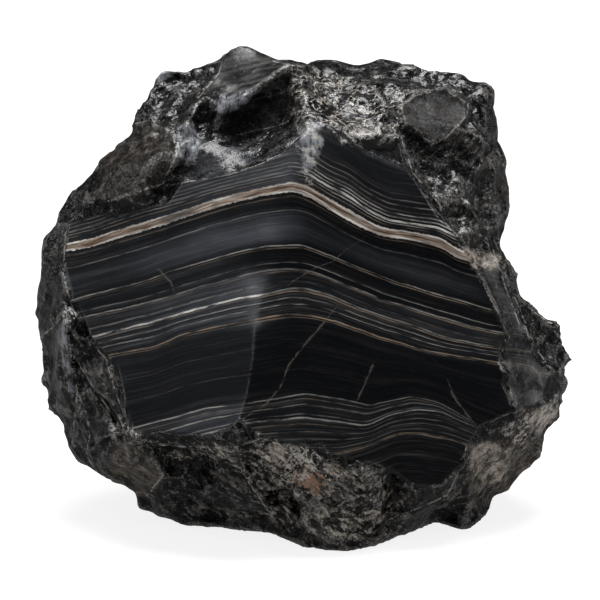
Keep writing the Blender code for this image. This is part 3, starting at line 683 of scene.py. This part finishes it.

# %% [markdown]
# Each layer of onyx has its own grey and its own share of hair-thin stripes. The greys are stops on a
# ramp over the height in the pile. The stripes are noise that is stretched along the layers and squeezed
# across them, once for the stripes that can be counted and once for the finest ones. The greys are also a
# painted sheen. They are painted strong on the left face, which looks into the light, and fade towards its
# far edge. On the right face, which is in shade, they are nearly left out.

# %% Layers and stripes
PILE_TOP = 110.0
LAYERS = [
    # height in the pile, mm; grey of the layer, partly a painted sheen; strength of its stripes
    (0, 0.1, 0.5), (19, 0.1, 0.6), (20, 0.4, 0.7), (27, 0.35, 0.75), (31.5, 0.4, 0.75), (32.3, 0.04, 0.3),
    (34, 0.03, 0.15), (45.6, 0.1, 0.15), (46.6, 0.3, 0.8), (51, 0.4, 1), (52.4, 0.5, 0.8), (54.8, 0.6, 0.4),
    (55.8, 0.15, 0.4), (59.4, 0.05, 0.3), (60.6, 0.15, 0.35), (62, 0.7, 0.35), (63.4, 1, 0.3),
    (65, 0.7, 0.35), (66.5, 0.3, 0.3), (67.5, 0.06, 0.3), (69.8, 0.02, 0.3), (72, 0.5, 0.4), (76, 0.65, 0.35),
    (80, 0.5, 0.3), (88, 0.1, 0.3), (110, 0.1, 0.5)]
BLACK = paint(6, 7, 9)
SLATE = paint(78, 81, 88)
# The stripes are painted paler on the lit left face and darker and browner on the right face in shade, partly
# as painted light.
STRIPE_LEFT = paint(96, 97, 99)
STRIPE_RIGHT = paint(84, 79, 74)


def ramp(stops, place):
    """A value or a colour that changes from stop to stop."""
    return Flow.node("ShaderNodeValToRGB", {"stops": stops}, {0: place})


def along(stretch, squeeze, detail, rough=0.5):
    """Noise drawn out along the layers and squeezed across them."""
    return noise(place_at(across * stretch, inward * stretch, pile * squeeze), 1, detail, rough)


wander = noise(spot, 0.09, 2)
pile = kept("pile") + (wander - 0.5) * 0.9 + (noise(spot, 0.5, 2, 0.6) - 0.5) * 0.2
flow = along(0.1, 0.25, 3)
layer_grey_and_sheen = ramp([(at / PILE_TOP, grey) for at, grey, _ in LAYERS], pile / PILE_TOP)
striped = ramp([(at / PILE_TOP, much) for at, _, much in LAYERS], pile / PILE_TOP)
stripes = rise(along(0.035, 1.6, 3, 0.65), 0.47, 0.68)
hairs = rise(along(0.07, 5.5, 3, 0.7), 0.5, 0.74)
breaks = along(0.25, 1.1, 3, 0.6)

clean = rise(kept("clean") + (noise(spot, 0.9, 2) - 0.5) * 1.6, -0.2, 0.5)
left = rise(kept("left of crest") + (flow - 0.5) * 0.4, -1, 1)
faint = rise(kept("faint") + (flow - 0.5) * 2, -0.4, 0.6)
ground = (1 - clean) * (1 - 0.55 * faint)

stripe = mix(left, STRIPE_RIGHT, STRIPE_LEFT)
# Painted sheen: the layer greys go on in full where the left face is lit, fading towards its far left edge,
# and at about a quarter on the right face in shade.
lit = left * (0.12 + 0.88 * rise(across, -42, -12))
layer_grey_and_sheen = layer_grey_and_sheen * (0.06 + 0.2 * (1 - left) + 0.94 * lit) * (0.2 + 1.2 * flow)
colour = mix(layer_grey_and_sheen * (0.55 + 0.35 * hairs + 0.2 * stripes), BLACK, SLATE)
striped = striped * rise(breaks, 0.25, 0.6) * (0.5 + 0.5 * clean)
colour = mix((stripes * 0.25 + hairs * 0.28) * striped, colour, stripe)
print("layers:", len(LAYERS))

# %% [markdown]
# The lines that catch the eye are drawn one by one: a height in the pile, a width, a colour and how
# strongly it shows on the left and on the right face. That strength is partly painted light: many lines
# are painted brighter on the lit left face than on the right face in shade. Noise along each line lets it
# thin out and break.
# The tan band is wide enough to have stripes of its own, so it gets its colour from a ramp over them.

# %% The drawn lines
WHITE = paint(190, 187, 181)
TAN = paint(126, 110, 94)
DRAWN_LINES = [
    # height and half width in mm, colour, strength on the lit left and on the shaded right face
    (79.8, 0.03, TAN, 0.1, 0.2), (78.6, 0.04, WHITE, 0.1, 0.15), (77.6, 0.05, WHITE, 0.15, 0.2),
    (76.6, 0.04, TAN, 0.2, 0.3), (75.9, 0.06, WHITE, 0.12, 0.4), (75.2, 0.05, WHITE, 0.12, 0.45),
    (74.4, 0.16, WHITE, 0.15, 0.8), (73.7, 0.06, WHITE, 0.2, 0.4), (73.0, 0.05, TAN, 0.35, 0.5),
    (69.3, 0.04, TAN, 0.3, 0.3), (66.8, 0.05, WHITE, 0.15, 0.1), (60.2, 0.06, WHITE, 0.35, 0.3),
    (59.7, 0.04, TAN, 0.3, 0.5), (56.7, 0.05, WHITE, 0.15, 0.2), (55.3, 0.06, WHITE, 0.25, 0.3),
    (54.9, 0.04, TAN, 0.2, 0.5), (53.2, 0.08, WHITE, 0.15, 0.05), (51.9, 0.1, WHITE, 0.75, 0.25),
    (51.4, 0.07, TAN, 0.3, 0.7), (50.2, 0.05, WHITE, 0.25, 0.2), (49.0, 0.04, WHITE, 0.2, 0.25),
    (47.0, 0.08, TAN, 0.75, 0.85), (46.5, 0.04, TAN, 0.3, 0.4), (41.5, 0.03, WHITE, 0.04, 0.01),
    (37.0, 0.03, WHITE, 0.05, 0.01), (31.7, 0.05, WHITE, 0.35, 0.22), (30.9, 0.03, TAN, 0.25, 0.3),
    (29.9, 0.05, WHITE, 0.25, 0.15), (28.3, 0.03, WHITE, 0.15, 0.15), (27.6, 0.1, WHITE, 0.25, 0.33),
    (26.4, 0.03, TAN, 0.2, 0.3), (24.9, 0.05, WHITE, 0.12, 0.12), (23.4, 0.03, WHITE, 0.12, 0.12),
    (21.6, 0.04, WHITE, 0.12, 0.12), (20.4, 0.06, TAN, 0.2, 0.5), (20.0, 0.05, TAN, 0.2, 0.6)]
SOFT_EDGE = 0.13

shown = rise(breaks, 0.3, 0.62) * (0.2 + 0.5 * faint + 0.8 * clean * (1 - 0.6 * faint)) * (0.45 + 1.1 * flow)
for at, half, hue, on_left, on_right in DRAWN_LINES:
    # Partly painted light: a line's strength on the lit left face differs from its strength on the shaded
    # right face.
    strength = (on_right + (on_left - on_right) * left) * shown
    colour = mix((1 - rise(abs(pile - at), half, half + SOFT_EDGE)) * strength, colour, hue)

BAND_AT, BAND_HALF = 71.0, 0.85
GAP_AT = -24.5
BAND_STOPS = [(0.3, paint(58, 47, 39)), (0.42, paint(100, 83, 70)), (0.52, paint(128, 115, 104)),
              (0.62, paint(150, 143, 136)), (0.76, paint(186, 183, 178))]
across_band = abs(pile - BAND_AT)
streaky = along(0.12, 1.9, 3, 0.7)
inside_band = ramp(BAND_STOPS, streaky * 1.3 + rise(across_band, 0.2, 0.9) * 0.2 - 0.2)
ragged = across_band + (noise(spot, 1.1, 2, 0.75) - 0.5) * 0.75 - 0.25 * (1 - left)
torn = rise(along(0.25, 5, 2, 0.7), 0.36, 0.5)
band = (1 - rise(ragged, BAND_HALF - 0.08, BAND_HALF + 0.1)) * (0.45 + 0.55 * torn)
gap = 1 - rise(abs(across - GAP_AT), 1.5, 5.0)
colour = mix(band * (0.45 + 0.55 * clean) * rise(breaks, 0.15, 0.45) * (1 - 0.6 * gap), colour, inside_band)
print("lines:", len(DRAWN_LINES))

# %% [markdown]
# Around the clean faces the same quartz is broken small, and no two spots of it look alike. Its colours
# are laid in patterns: soft noise from grain to cloud, lines of equal noise for the veins of crushed
# quartz, and random cells for the shards and the single bright grains. Crumbs and shards lie slanted, up
# and away from the foot, and rings run round the spots where a blow broke it.

# %% Patterns of the broken ground
# sizes of the random cells, mm
WEB, SHARD, SPLINT, SPECK, RINGS = 3.4, 1.5, 0.55, 0.32, 16
MIDDLE = 12
HIGH_GROUND = (52, 66)

grain = noise(spot, 2.6, 4, 0.7)
mottle = noise(spot, 0.4, 4, 0.65)
cloud = noise(place_at(across * 1.1, inward * 0.7, pile * 0.35), 1, 3, 0.6)
warped = Flow.node("ShaderNodeVectorMath", {"operation": "ADD"}, {0: spot, 1: place_at(grain, mottle, grain)})
web = 1 - rise(cells(warped, WEB, "Distance", "DISTANCE_TO_EDGE"), 0.008, 0.025)
veins = 1 - rise(abs(noise(warped, 0.3, 2, 0.6) - 0.5), 0.006, 0.03)
# The sharpest ridges, painted pale below, partly as a painted glint.
rubbed_and_glint = rise(kept("ridges") + (grain - 0.5) * 0.1, 0.06, 0.1) * ground
proud = rise(kept("swells") + (mottle - 0.5) * 0.8, -0.3, 0.6)
speck = rise(cells(spot, SPECK, "Color"), 0.78, 0.86) * rise(mottle, 0.46, 0.62)
up = Flow.node("ShaderNodeSeparateXYZ", {}, {0: spot}, outlet="Z")
aside = abs(across - MIDDLE)
slanted = place_at((aside * 0.8 + up * 0.6) * 0.5 + grain * 0.7, inward * 0.7 + mottle,
                   (up * 0.8 - aside * 0.6) * 1.1 + grain * 0.7)
crumb = noise(slanted, 0.9, 4, 0.65)
crumbly = rise(crumb, 0.47, 0.58)
shards = rise(cells(slanted, SHARD, "Color"), 0.54, 0.74) * (0.3 + 0.7 * rise(grain, 0.42, 0.58))
smear = 0.15 + 0.85 * rise(crumb * 0.4 + mottle * 0.6, 0.42, 0.6)
splints = rise(cells(slanted, SPLINT, "Color"), 0.6, 0.76)
rings = noise(place_at(cells(spot, RINGS, "Distance") * RINGS, 0, 0), 1.3, 2, 0.7)
# High on the stone, where the top light falls strongest, several paints below are cut back: a painted shade.
high = rise(pile, *HIGH_GROUND)
shake = (mottle - 0.5) * 0.9 + (grain - 0.5) * 0.35
# Mask of the keen edges, painted pale below, partly as a painted glint.
keen = 1 - rise(abs(kept("keen edges") + shake), 0.02, 0.2)
print("nodes before the ground is painted:", len(onyx.node_tree.nodes))

# %% [markdown]
# The ground stays black, and only its sharpest ridges are rubbed pale, partly as a painted glint. The keen
# edges get a pale line that is partly a painted glint too. Patches of it are crushed to white sugar, glazed
# milky blue, where the lip and the left rim also carry a painted bluish sheen, stained brown or touched
# with rust. High on the stone the dust, rings, shards, stains and sugar are painted darker, a painted shade
# against the strong top light. Each patch is a distance kept on the points, which the noise makes ragged.
# The paints go on one over the other, the widest and darkest first and the brightest crumbs last.

# %% Colours of the broken ground


def patch_of(name, ragged=3.0, soft=0.8):
    """How far a kept patch reaches, with a ragged edge."""
    return rise(kept(name) + (mottle - 0.5) * ragged + (grain - 0.5) * ragged * 0.5, -soft, soft)


# Painted shade: brown and sugary patches are painted darker high on the stone, against the top light.
brown = patch_of("brown") * ground * (1 - 0.65 * high)
sugary = patch_of("sugary") * ground * (1 - 0.8 * high)
crushed = patch_of("crushed", 5.0)
veined = patch_of("veined", 4.0) * ground
milky = patch_of("milky", 1.4, 0.4)
calm = rise(kept("calm"), -0.4, 0.8)
colour = mix(ground * 0.93, colour, paint(3, 3, 4))
# Painted shade: the dust here, and the rings and shards below, are painted darker high on the stone.
dusty = crumbly * rise(mottle, 0.46, 0.62) * proud * (1 - 0.7 * calm) * (0.45 - 0.3 * high)
colour = mix(ground * dusty, colour, paint(54, 51, 48))
colour = mix(ground * hairs * rise(breaks, 0.4, 0.7) * (0.15 + 0.2 * calm), colour, paint(60, 60, 62))
colour = mix(calm * high * stripes * 0.35, colour, paint(74, 73, 72))
colour = mix(ground * rise(rings, 0.56, 0.7) * (1 - 0.7 * high) * 0.4, colour, paint(84, 78, 72))
colour = mix(ground * shards * crumbly * (0.5 - 0.35 * high), colour, paint(112, 107, 101))
colour = mix(sugary * (shards * 0.6 + splints * 0.5) * (0.15 + 0.85 * crumbly), colour, paint(146, 138, 128))
colour = mix(brown * smear * (0.15 + 0.45 * rise(grain, 0.38, 0.62)), colour, paint(110, 98, 85))
brown_facet = patch_of("brown facet", 1.0) * ground
colour = mix(brown_facet * (0.3 + 0.5 * rise(grain, 0.4, 0.6)), colour, paint(26, 22, 20))
colour = mix(patch_of("rust") * ground * crumbly * 0.8, colour, paint(112, 74, 46))
# Painted glint in part: the sharpest ridges are painted pale, partly rubbed wear and partly a glint.
colour = mix(rubbed_and_glint * (0.1 + 0.6 * rise(grain, 0.45, 0.6)), colour, paint(104, 102, 99))
colour = mix(web * ground * rise(grain, 0.5, 0.62) * 0.3, colour, paint(96, 88, 80))
colour = mix(speck * ground * (0.2 + sugary * 0.5), colour, paint(150, 147, 142))
# Painted glint in part: a pale line along the keen edges, partly bruised quartz and partly a glint.
colour = mix(keen * rise(grain + (mottle - 0.5) * 1.4, 0.46, 0.6) * 0.7, colour, paint(140, 138, 135))
# Painted sheen in part: the milky blue glaze on the lip and the left rim stands for a bluish sheen.
colour = mix(milky * rise(cloud, 0.34, 0.62) * 0.6, colour, paint(134, 137, 143))
colour = mix(veined * rise(cloud, 0.5, 0.7) * 0.4, colour, paint(80, 79, 80))
colour = mix(veined * veins * rise(grain, 0.36, 0.52) * 0.8, colour, paint(168, 161, 152))
pale = patch_of("pale") * smear * (0.45 + 0.4 * rise(grain, 0.4, 0.6))
colour = mix(pale, colour, paint(156, 146, 135))
colour = mix(crushed * rise(crumb + (grain - 0.5) * 0.4, 0.5, 0.6) * 0.7, colour, paint(160, 156, 150))
print("nodes after:", len(onyx.node_tree.nodes))

# %% [markdown]
# Old cracks cross the clean faces. Each has healed as a soft grey seam with a thin pale line inside. The
# material reads the distance to the nearest one from the points of the mesh, and noise shakes it so that
# it runs like a crack, not like a pencil.

# %% Hair cracks
HEALED_WIDTH, CRACK_WIDTH = 0.16, 0.12
from_crack = abs(kept("cracks") + shake * 0.9)
healed = (1 - rise(from_crack - rise(mottle, 0.42, 0.65) * 0.3, 0, HEALED_WIDTH)) * clean
crack = (1 - rise(from_crack, 0.02, CRACK_WIDTH)) * clean
colour = mix(healed * 0.2, colour, paint(70, 68, 64))
colour = mix(crack * rise(grain + (mottle - 0.5) * 1.2, 0.42, 0.6) * 0.35, colour, paint(122, 117, 108))
print("old cracks:", len(CRACKS))

# %% [markdown]
# The clean faces shine like dark glass, with streaks of a duller skin along the layers. The broken
# ground is duller, and duller still where it is crushed or stained. Its smallest chips are flat facets
# that are each tilted their own way. They are too fine for the mesh, so a bump map gives them, in three
# sizes, and a fine tooth over everything.

# %% Gloss and tooth of the stone
# size of the facets and how much they are tilted, mm
BIG, SMALL, TINY = (2.4, 0.34), (0.9, 0.32), (0.4, 0.2)
TOOTH = 0.02
dull = 0.2 + 0.12 * flow + 0.08 * stripes
dull = dull + ground * (0.12 * rise(mottle, 0.4, 0.7) - 0.04) + crushed * 0.15 + brown * 0.2
dull = dull + brown_facet * 0.4 + calm * (0.04 + high * (0.1 + 0.2 * hairs))
wobble = noise(spot, 1.5, 1)
wobble = place_at(wobble, wobble, wobble)
wobbly = Flow.node("ShaderNodeVectorMath", {"operation": "ADD"}, {0: spot, 1: wobble})
chipped = sum(facets(place, size) * tilt
              for place, (size, tilt) in ((wobbly, BIG), (spot, SMALL), (spot, TINY)))
broken = 1 - rise(kept("clean"), -0.2, 0.5)
eased = (1 - 0.8 * calm) * (1 - 0.55 * rise(kept("faint"), -0.4, 0.6))
tooth = broken * eased * chipped + noise(spot, 5, 0) * TOOTH
bump = Flow.node("ShaderNodeBump", {}, {"Strength": 1.0, "Distance": MM, "Height": tooth}, outlet="Normal")
skin = onyx.node_tree.nodes["Principled BSDF"]
skin.inputs["IOR"].default_value = 1.54
skin.inputs["Specular IOR Level"].default_value = 0.3
Flow.tree.links.new(colour.socket, skin.inputs["Base Color"])
Flow.tree.links.new(dull.socket, skin.inputs["Roughness"])
Flow.tree.links.new(bump.socket, skin.inputs["Normal"])
stone.data.materials.append(onyx)
print("nodes in the material:", len(onyx.node_tree.nodes))

# %% [markdown]
# The stone stands on a plain white sheet in a white room. Black glass mirrors what is around it, and white
# all round would turn it grey, so the sheet and the room show much darker in reflections. Both are even,
# so Cycles needn't aim light samples at them, which saves time.

# %% Floor and room
SHEET_SIZE = 6
SHEET_PAINT, SHEET_MIRRORED = (0.2, 0.2, 0.2, 1), (0.06, 0.06, 0.06, 1)
SHEET_GLOW, GLOW_MIRRORED = (1, 1, 1, 1), (0.15, 0.15, 0.15, 1)
GLOW_STRENGTH = 0.84
ROOM_SEEN, ROOM_LIGHT, ROOM_MIRRORED = (1, 1, 1, 1), (0.25, 0.25, 0.25, 1), (0.015, 0.016, 0.018, 1)

bpy.ops.mesh.primitive_plane_add(size=SHEET_SIZE, location=(0, 0, 0))
floor = bpy.context.object
floor.name = "floor"
paper = bpy.data.materials.new("white_paper")
paper.use_nodes = True
sheet = paper.node_tree.nodes["Principled BSDF"]
sheet.inputs["Roughness"].default_value = 0.9
sheet.inputs["Emission Strength"].default_value = GLOW_STRENGTH
paper.cycles.emission_sampling = "NONE"
floor.data.materials.append(paper)
Flow.tree = paper.node_tree
in_gloss = Flow.node("ShaderNodeLightPath", {}, {}, outlet="Is Glossy Ray")
Flow.tree.links.new(mix(in_gloss, SHEET_PAINT, SHEET_MIRRORED).socket, sheet.inputs["Base Color"])
Flow.tree.links.new(mix(in_gloss, SHEET_GLOW, GLOW_MIRRORED).socket, sheet.inputs["Emission Color"])

scene = bpy.context.scene
scene.view_settings.view_transform = "Standard"
sky = bpy.data.worlds.new("white studio")
sky.use_nodes = True
sky.cycles.sampling_method = "NONE"
scene.world = sky
Flow.tree = sky.node_tree
in_gloss = Flow.node("ShaderNodeLightPath", {}, {}, outlet="Is Glossy Ray")
seen = Flow.node("ShaderNodeLightPath", {}, {}, outlet="Is Camera Ray")
room = mix(seen, mix(in_gloss, ROOM_LIGHT, ROOM_MIRRORED), ROOM_SEEN)
Flow.tree.links.new(room.socket, Flow.tree.nodes["Background"].inputs["Color"])
print("floor and room are lit")

# %% [markdown]
# Five soft boxes light the stone. The one above is the main light and draws the glints of the broken
# ground. The sheen box stands where the left face mirrors it and adds a little real sheen to the grey
# sheen painted on that face, while the right one stays black. The others are weak and fill the rims.

# %% Soft boxes
BOXES = [
    # name; place and size in metres; power in watts
    ("sheen box", (-0.66, -0.29, 0.54), 0.5, 0.08),
    ("left box", (-0.85, 0.15, 0.4), 0.4, 1.5),
    ("top box", (0.05, 0.18, 0.95), 0.6, 19),
    ("front box", (-0.35, -0.6, 1.0), 0.35, 1.1),
    ("right fill", (0.9, 0.1, 0.5), 0.4, 2)]
AIM = Vector((0, 0, 0.04))


def soft_box(name, place, size, power):
    """A square area light that looks at the stone."""
    light = bpy.data.lights.new(name, "AREA")
    light.size = size
    light.energy = power
    lamp = bpy.data.objects.new(name, light)
    lamp.location = place
    lamp.rotation_euler = (AIM - Vector(place)).to_track_quat("-Z", "Y").to_euler()
    scene.collection.objects.link(lamp)


for box in BOXES:
    soft_box(*box)
print("soft boxes:", len(BOXES))

# %% [markdown]
# The camera looks square at the front that the places are named on, from far enough that the stone is
# drawn without a wide lens's swelling. Its lens is worked out from how many pixels a millimetre takes.

# %% Camera
DISTANCE = 2.5
CENTRE_X = -0.3
CENTRE_H = 49.6
PIXELS_PER_MM = 5.16
PICTURE = 600
SENSOR = 36
eye = bpy.data.cameras.new("camera")
camera = bpy.data.objects.new("camera", eye)
scene.collection.objects.link(camera)
centre = Vector(((CENTRE_X - MIDDLE_X) * MM, CENTRE_H * MM * math.sin(LEAN) - MIDDLE_Y * MM,
                 CENTRE_H * MM * math.cos(LEAN) - GROUND * MM))
ahead = Vector((0, math.cos(LEAN), -math.sin(LEAN)))
camera.location = centre - ahead * DISTANCE
camera.rotation_euler = (math.pi / 2 - LEAN, 0, 0)
eye.sensor_width = SENSOR
eye.lens = SENSOR * DISTANCE / (PICTURE / PIXELS_PER_MM * MM)
eye.clip_start = 0.05
scene.camera = camera
print("lens, mm:", round(eye.lens))
